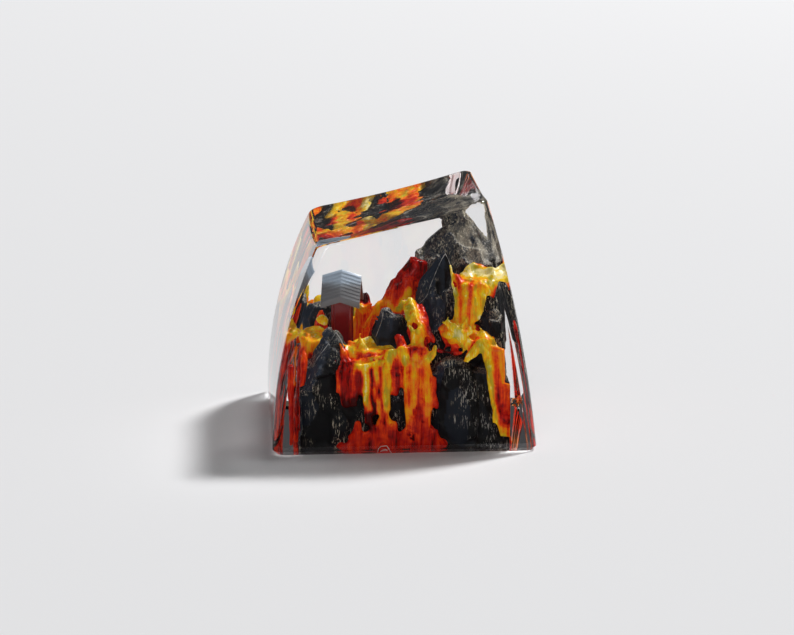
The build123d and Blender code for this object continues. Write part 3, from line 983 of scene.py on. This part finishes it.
draw_in(lava_bm)
keep_inside(lava_bm, LAVA_COVER)
lava_tree = BVHTree.FromBMesh(lava_bm)
print("lava box in z:", [round(f(vert.co.z for vert in lava_bm.verts), 2) for f in (min, max)])

# %% [markdown]
# ## Rock
#
# The real rock looks chiselled: flat, tilted cuts with sharp edges between them. Noise alone gives soft
# hills. So space is split into upright cells, and each cell cuts its own tilted face. Cones with few sides
# give the crags that tower over the CAD rock. The hollow, the boss and the foot keep their CAD form.

# %% Crags
CRAGS = {                # x, y, foot, top, radius at foot and top, sides, turn in degrees
    "second_peak": (3.5, 3.0, 7.8, 13.0, 2.5, 0.1, 7, 10),
    "second_peak_rib": (4.3, 2.3, 7.0, 11.2, 1.5, 0.2, 5, 40),
    "boulder": (4.9, -1.2, 5.8, 9.35, 1.85, 0.3, 5, 20),
    "boulder_side": (5.0, -0.4, 5.8, 8.9, 1.5, 0.6, 4, 60),
    "corner_rib": (6.55, 6.35, 0.3, 8.9, 0.95, 0.6, 6, 0),
    "right_shoulder": (2.7, 5.5, 5.0, 12.0, 2.3, 0.9, 7, 15),
    "left_crag": (6.4, -5.1, 5.4, 8.4, 2.3, 0.1, 5, 35),
    "summit": (0.0, 4.25, 11.6, 15.2, 3.1, 0.1, 7, 0),
    "summit_body": (0.0, 4.2, 6.0, 11.9, 4.3, 3.1, 8, 20),
}


def add_crags(bm):
    for x, y, foot, top, wide, narrow, sides, turn in CRAGS.values():
        stand = Matrix.Translation((x, y, (foot + top) / 2)) @ Matrix.Rotation(radians(turn), 4, "Z")
        bmesh.ops.create_cone(
            bm, cap_ends=True, segments=sides, radius1=wide, radius2=narrow, depth=top - foot, matrix=stand,
        )


print(len(CRAGS), "crags, the tallest up to", max(crag[3] for crag in CRAGS.values()))

# %% Chisel cuts
CELL_WIDE = 1.35         # size of a chisel cut across and up
CELL_TALL = 2.4


def chisel_cell(p):
    """Place within the nearest cell, and a random vector for that cell."""
    spot = Vector((p.x / CELL_WIDE, p.y / CELL_WIDE, p.z / CELL_TALL))
    _, centres = noise.voronoi(spot)
    return spot - centres[0], noise.cell_vector(centres[0] * 37.0)


def rock_relief(p):
    """How far rock stands out at a point, in mm: flat cuts, upright ribs, fine grain."""
    within, chance = chisel_cell(p)
    cut = 0.65 * within.dot(chance - Vector((0.5, 0.5, 0.5))) + 0.25 * (chance.x - 0.5)
    ribs = noise.noise((p.x * 2.3, p.y * 2.3, p.z * 0.45))
    grain = noise.noise((p.x * 5.5, p.y * 5.5, p.z * 1.6))
    return cut + 0.05 * ribs + 0.02 * grain


def rock_share(p):
    """How much of the relief a point gets: none in the hollow and at the foot."""
    if in_hollow(p):
        return 0.0
    return smoothstep(0.05, 0.9, p.z)


print("relief at one spot of the near terrace:", round(rock_relief(Vector((6, -2, 6))), 3))

# %% Notes for the rock paint
SKY = Vector((0.35, -0.6, 0.7))


def rock_tone(vert):
    return chisel_cell(vert.co)[1].y


def skyward(vert):
    """How far a cut faces up and to the front, where slate blue is painted as a reflection of the sky."""
    return vert.normal.dot(SKY)


def upward(vert):
    return vert.normal.z


def outside(vert):
    """1 on the landscape, 0 in the hollow for the switch, where no paint was brushed on."""
    return 0.0 if in_hollow(vert.co) else 1.0


ROCK_NOTES = {"tone": rock_tone, "upward": upward, "skyward": skyward, "outside": outside}
print("notes for the rock paint:", ", ".join(ROCK_NOTES))

# %% Chisel the rock
ROCK_VOXEL = 0.14
ROCK_COVER = 0.5         # clear resin over the rock
FOOT_FLAT = 0.08         # below this the foot is as flat as in CAD


def rock_mesh():
    bm = from_cad("rock_base")
    exact = BVHTree.FromBMesh(bm)
    add_crags(bm)
    bm = settled(
        bm,
        ("REMESH", {"mode": "VOXEL", "voxel_size": ROCK_VOXEL}),
        ("SMOOTH", {"factor": 0.5, "iterations": 1}),
    )
    shaped(bm, rock_relief, rock_share, **ROCK_NOTES)
    for vert in bm.verts:
        if in_hollow(vert.co) or vert.co.z < FOOT_FLAT:
            vert.co = exact.find_nearest(vert.co)[0]
    draw_in(bm)
    keep_inside(bm, ROCK_COVER)
    return bm


def give_way(bm):
    """Sink the rock a little where lava lies on it."""
    for vert in bm.verts:
        if not in_hollow(vert.co) and vert.co.z > FOOT_FLAT:
            spot, facing, _, away = lava_tree.find_nearest(vert.co)
            sunk = (vert.co - spot).dot(facing)
            if away < 0.6:
                vert.co -= vert.normal * 0.2 * (1 - smoothstep(0.15, 0.5, sunk)) * rock_share(vert.co)


rock_bm = rock_mesh()
give_way(rock_bm)
rock_tree = BVHTree.FromBMesh(rock_bm)
print("rock:", len(rock_bm.verts), "corners")

# %% [markdown]
# ## Rock paint
#
# The real rock is black resin, dry-brushed with tan: nearly all paint is wiped off the brush, and what is
# left catches on what stands out. A noise mask alone looks like mould. So the paint follows the notes on
# the mesh: strokes run upright, ledges get specks, and the summit took most. Cuts that face the sky are
# painted slate blue, as a painted reflection of the sky in glossy black facets.

# %% Paint the rock
rock_paint, shader, place = new_material("rock_paint")
tone = place.note("tone")
height = place.axis("Z")
strokes = place.stretched(10.0, 10.0, 1.6).noise(1.0, 3.0, 0.7, 0.6).ramp(0.55, 0.63)
patches = (place.noise(0.6, 3.0) + place.note("crest") * 0.5).ramp(0.46, 0.60)
specks = place.noise(9.0, 2.0).ramp(0.46, 0.60)
bands = place.stretched(1.3, 1.3, 0.35).noise(1.0, 2.0).ramp(0.36, 0.60)
summit = height.ramp(9.0, 11.5) * (1 - place.axis("X").ramp(2.7, 3.5))
on_cliffs = strokes * patches * 0.9
on_ledges = place.note("upward").ramp(0.5, 0.9) * specks * 0.6
on_summit = summit * bands * (tone.ramp(0.1, 0.9) * 0.35 + strokes)
brushed = (on_cliffs + on_ledges + on_summit) * place.note("outside")
tan = place.noise(0.35, 1.0).colours((0.35, (0.42, 0.40, 0.36)), (0.65, (0.85, 0.74, 0.55)))
# painted reflection: cuts facing up and to the front turn slate blue, mixed with each cell's random tone
sky_reflection_and_tone = place.note("skyward") * 0.7 + tone * 0.4
stone_and_sky_reflection = sky_reflection_and_tone.colours((0.45, (0.009, 0.009, 0.010)), (0.85, (0.032, 0.044, 0.068)))
upright = place.stretched(7.0, 7.0, 0.9).noise(1.0, 4.0, 0.7)
grain = place.node("ShaderNodeBump", {}, {"Strength": 0.35, "Distance": 0.15 * MM, "Height": upright})
feed(shader, Base_Color=mixed(brushed, stone_and_sky_reflection, tan), Normal=grain, Roughness=0.4, IOR=1.2)
to_piece(rock_bm, "rock", "rock_base", rock_paint, crease=24)

# %% [markdown]
# ## Lava paint
#
# The real pour marbled as it set, from deep red through orange to yellow. One gradient over height would
# look like a sunset. Here the heat on the mesh sets the mean, and eddies, streaks that run down with the
# falls, and hairs break it up, more so where it is hot. Thin yellow goes olive where black shows through
# it.

# %% Paint the lava
FIRE = (
    (0.0, (0.05, 0.001, 0.001)),
    (0.12, (0.45, 0.006, 0.003)),
    (0.28, (0.80, 0.05, 0.004)),
    (0.45, (0.88, 0.21, 0.004)),
    (0.62, (0.86, 0.38, 0.004)),
    (0.8, (0.86, 0.60, 0.013)),
    (1.0, (0.92, 0.76, 0.34)),
)
OLIVE = (0.26, 0.27, 0.02, 1)

lava_paint, shader, place = new_material("lava_paint")
heat = place.note("warmth")
eddies = place.noise(0.9, 3.0, 0.6, 2.0)
streaks = place.stretched(3.0, 3.0, 0.45).noise(1.0, 3.0, 0.6, 0.5)
hairs = place.stretched(9.0, 9.0, 0.6).noise(1.0, 2.0, 0.6, 0.4)
restless = (eddies - 0.5) * 0.8 + (streaks - 0.5) * 0.9 + (hairs - 0.5) * 0.8
# the heat is the pour's own colour; the crest term adds painted highlight on standing folds and painted shade
# on the sunk sheet between strands
heat_and_relief_light = heat * 0.84 + place.note("crest") * 0.9 + restless * (0.2 + heat * 0.8)
thin = place.stretched(1.6, 1.6, 0.6).noise(1.0, 2.0).ramp(0.47, 0.66) * heat.ramp(0.5, 0.8) * 0.65
colour = mixed(thin, heat_and_relief_light.colours(*FIRE), OLIVE)
# painted light: the lava glows faintly in its own colour, though it is no lamp
feed(
    shader, Base_Color=colour, Roughness=0.25, IOR=1.22,
    Emission_Color=colour, Emission_Strength=0.14,
)
to_piece(lava_bm, "lava", "lava_flows", lava_paint)

# %% [markdown]
# ## Films of air and chip highlights, painted pale
#
# Where resin shrank off a sharp crest it left a film of air, which mirrors light and is seen as a pale
# hairline on the rock; the chip's broken edge catches light in such lines too. A film is too thin to model
# as a gap. So a hair-thin tube, painted pale, stands for the film's painted reflection, and such tubes round
# the chip are painted highlights. A hair-thin tube along the crest looks the same from any side. Its points
# are given near the crest and then moved onto the rock itself.

# %% Lay the films
FILM_RADIUS = 0.02
CREST_FILMS = {
    "peak_left": (
        (4.6, 2.93, 13.25), (4.6, 2.35, 12.45), (4.6, 1.65, 11.2), (4.7, 1.02, 9.85), (4.9, 0.3, 9.6),
    ),
    "peak_right": ((4.6, 2.93, 13.25), (4.6, 3.4, 12.9), (4.7, 4.0, 12.4)),
    "boulder": ((5.6, -2.2, 7.6), (5.8, -1.7, 8.9), (5.8, -1.1, 9.5), (5.8, -0.4, 9.0), (5.6, 0.1, 9.3)),
    "crag_left": ((7.2, -4.55, 8.35), (7.3, -5.3, 7.3), (7.6, -6.15, 6.4), (7.8, -6.7, 5.2)),
    "crag_right": ((7.2, -4.55, 8.35), (7.6, -4.1, 7.3), (7.9, -3.65, 6.1)),
}
# lines round the chip, painted pale as highlights on its broken edge
CHIP_HIGHLIGHTS = {
    "arch": (
        (9.05, -1.93, 0.15), (9.06, -1.88, 0.42), (9.06, -1.7, 0.58), (9.06, -1.3, 0.62), (9.06, -1.12, 0.34),
    ),
    "step": ((8.98, -1.75, 0.2), (8.96, -1.5, 0.32), (8.96, -1.25, 0.3)),
    "right": ((9.06, -1.16, 0.36), (9.05, -0.98, 0.1)),
}


def crest_film(points):
    """A film of even thickness, just off the rock."""
    hits = [rock_tree.find_nearest(Vector(p)) for p in points]
    path = curve_through([spot + facing * 2 * FILM_RADIUS for spot, facing, _, _ in hits])
    return [(point, FILM_RADIUS, 0) for point in path]


def chip_highlight(points):
    """A painted highlight line round the chip that grows thicker from its start to its end."""
    path = curve_through([Vector(p) for p in points])
    return [(point, FILM_RADIUS * (0.6 + 1.2 * k / len(path)), 0) for k, point in enumerate(path)]


films = [crest_film(points) for points in CREST_FILMS.values()]
films += [chip_highlight(points) for points in CHIP_HIGHLIGHTS.values()]
film_and_highlight_bm = bmesh.new()
film_and_highlight_bm.from_mesh(tubes(films))
print(len(films), "films")

# %% Paint the films and highlights pale, as painted reflection
film_highlight_paint, shader, place = new_material("film_highlight_paint")
# painted reflection and highlight: pale where the noise rises, and more so low down round the chip; near
# black elsewhere
low_down = 1 - place.axis("Z").ramp(0.7, 1.2)
coming_and_going = place.noise(1.5, 2.0) + low_down * 0.3
pale = coming_and_going.colours((0.4, (0.12, 0.12, 0.13)), (0.6, (0.75, 0.74, 0.70)))
feed(shader, Base_Color=pale, Roughness=0.3)
to_piece(film_and_highlight_bm, "air_film_highlight", "clear_cap", film_highlight_paint)

# %% [markdown]
# ## The hut
#
# The real hut has glossy dark red walls and a roof of blue-grey slates, painted paler towards the ridge as a
# painted reflection. Its form is all in CAD and could be shown as it is. But real edges are never quite
# sharp, and a soft edge catches the light, so both pieces get a narrow bevel on welded copies of their
# solids.


# %% The hut's walls
def softened(name, width):
    bm = from_cad(name)
    bmesh.ops.dissolve_limit(bm, angle_limit=radians(1), verts=bm.verts, edges=bm.edges)
    sharp = [e for e in bm.edges if len(e.link_faces) == 2 and e.calc_face_angle(0) > radians(25)]
    bmesh.ops.bevel(
        bm, geom=sharp, offset=width, offset_type="OFFSET", affect="EDGES",
        segments=2, profile=0.5, material=-1, clamp_overlap=True,
    )
    return bm


wall_paint, shader, place = new_material("wall_paint")
feed(shader, Base_Color=(0.28, 0.008, 0.010, 1), Roughness=0.15, IOR=1.45)
to_piece(softened("hut_walls", 0.03), "hut_wall", "hut_walls", wall_paint, crease=30)

# %% The hut's slates
slate_paint, shader, place = new_material("slate_paint")
# painted reflection: slates turn paler blue-grey towards the ridge; the noise gives them an uneven tone
tone_and_painted_reflection = (place.noise(2.5, 3.0) - 0.5) * 0.5 + place.axis("Z").ramp(10.3, 11.1)
slates = tone_and_painted_reflection.colours((0.1, (0.20, 0.20, 0.21)), (0.55, (0.30, 0.33, 0.37)), (0.95, (0.52, 0.62, 0.74)))
feed(shader, Base_Color=slates, Roughness=0.35, Coat_Weight=0.3, Coat_Roughness=0.15)
to_piece(softened("hut_roof", 0.015), "hut_slates", "hut_roof", slate_paint, crease=30)

# %% [markdown]
# ## Floor and light
#
# The photo has a pale table in a dim room. A key light from behind on the right throws the shadow towards
# the camera on the left, and a weak light from above the camera opens up the cliffs. A dome of even light
# would be simpler, but it throws no such shadow. The near wall mirrors the table in front of it, which would
# wash it out, so a dark card lies there that only mirrors see. It is a wedge that starts at the near foot,
# which keeps it out of the other walls' mirrors.

# %% The floor
FLOOR_SIZE = 3.0         # half its width; from here on in metres


def staged(bm, name, paint):
    """Put a flat sheet in the scene as part of the stage."""
    mesh = bpy.data.meshes.new(name)
    bm.to_mesh(mesh)
    bm.free()
    mesh.materials.append(paint)
    made = bpy.data.objects.new(name, mesh)
    bpy.context.collection.objects.link(made)
    return made


floor_paint, shader, place = new_material("floor_paint")
feed(shader, Base_Color=(0.80, 0.80, 0.81, 1), Roughness=0.6, Specular_IOR_Level=0.0)
floor_bm = bmesh.new()
bmesh.ops.create_grid(floor_bm, x_segments=1, y_segments=1, size=FLOOR_SIZE)
staged(floor_bm, "floor", floor_paint)
print("floor:", 2 * FLOOR_SIZE, "m wide")


# %% The lamps
def lamp(name, where, size, power):
    """A square area light that faces the part."""
    data = bpy.data.lights.new(name, "AREA")
    data.size = size
    data.energy = power
    made = bpy.data.objects.new(name, data)
    made.location = where
    made.rotation_euler = (-Vector(where)).to_track_quat("-Z", "Y").to_euler()
    bpy.context.collection.objects.link(made)


lamp("key", Vector((-0.48, 0.6, 1.0)).normalized() * 2.0, 0.27, 42.5)
lamp("front", (1.2, -0.32, 0.87), 0.5, 2.9)
print(len(bpy.data.lights), "lamps")

# %% A dark card for the mirrors
CARD_SIZE = 1.5          # half its length
CARD_FROM = 0.0096       # just past the near foot
CARD_LIFT = 0.0005
CARD_NARROW = 0.01       # of its width, at the near foot

card_paint, shader, place = new_material("card_paint")
feed(shader, Base_Color=(0.02, 0.02, 0.02, 1), Roughness=1.0, IOR=1.0)
card_bm = bmesh.new()
bmesh.ops.create_grid(card_bm, x_segments=1, y_segments=1, size=CARD_SIZE)
near_end = [vert for vert in card_bm.verts if vert.co.x < 0]
bmesh.ops.scale(card_bm, vec=(1, CARD_NARROW, 1), verts=near_end)
bmesh.ops.translate(card_bm, vec=(CARD_SIZE + CARD_FROM, 0, CARD_LIFT), verts=card_bm.verts)
card = staged(card_bm, "card", card_paint)
card.visible_camera = False
card.visible_diffuse = False
card.visible_shadow = False
card.visible_transmission = False
print("card:", 2 * CARD_SIZE, "m long")

# %% The dim room
ROOM = (0.058, 0.059, 0.061, 1)

world = bpy.data.worlds.new("room")
bpy.context.scene.world = world
world.use_nodes = True
world.node_tree.nodes["Background"].inputs["Color"].default_value = ROOM
print("room:", ROOM[:3])

# %% [markdown]
# ## Camera
#
# The photo was taken from a little above, nearly square to the near wall. The camera's angles, distance and
# scale were fitted to the foot and the silhouette. A Track To constraint could aim it, but setting its
# matrix from three directions keeps the fit exact. A small shift puts the part where it lies in the picture.

# %% Set the camera
AZIMUTH = radians(3.956)
ELEVATION = radians(12.744)
DISTANCE = 184.57        # from the target, in mm
SCALE = 14.046           # pixels to the mm at the target
FOCAL = SCALE * DISTANCE
TARGET = Vector((0, 0, 8))
TARGET_AT = (396.60, 311.09)  # its place in the picture, in pixels
PICTURE = (794, 635)
SENSOR = 36

right = Vector((sin(AZIMUTH), cos(AZIMUTH), 0))
back = Vector((cos(AZIMUTH) * cos(ELEVATION), -sin(AZIMUTH) * cos(ELEVATION), sin(ELEVATION)))
up = back.cross(right)
camera_data = bpy.data.cameras.new("camera")
camera_data.sensor_width = SENSOR
camera_data.lens = FOCAL / PICTURE[0] * SENSOR
camera_data.shift_x = -(TARGET_AT[0] - PICTURE[0] / 2) / PICTURE[0]
camera_data.shift_y = (TARGET_AT[1] - PICTURE[1] / 2) / PICTURE[0]
camera_data.clip_start = 0.01
camera = bpy.data.objects.new("camera", camera_data)
turn = Matrix((right, up, back)).transposed()
camera.matrix_world = Matrix.Translation((TARGET + back * DISTANCE) * MM) @ turn.to_4x4()
bpy.context.collection.objects.link(camera)
bpy.context.scene.camera = camera
bpy.context.scene.view_settings.view_transform = "Standard"
print("lens in mm:", round(camera_data.lens, 1))

# %% [markdown]
# ## Sizes
#
# Looks must not outgrow the solids that the simulation uses.
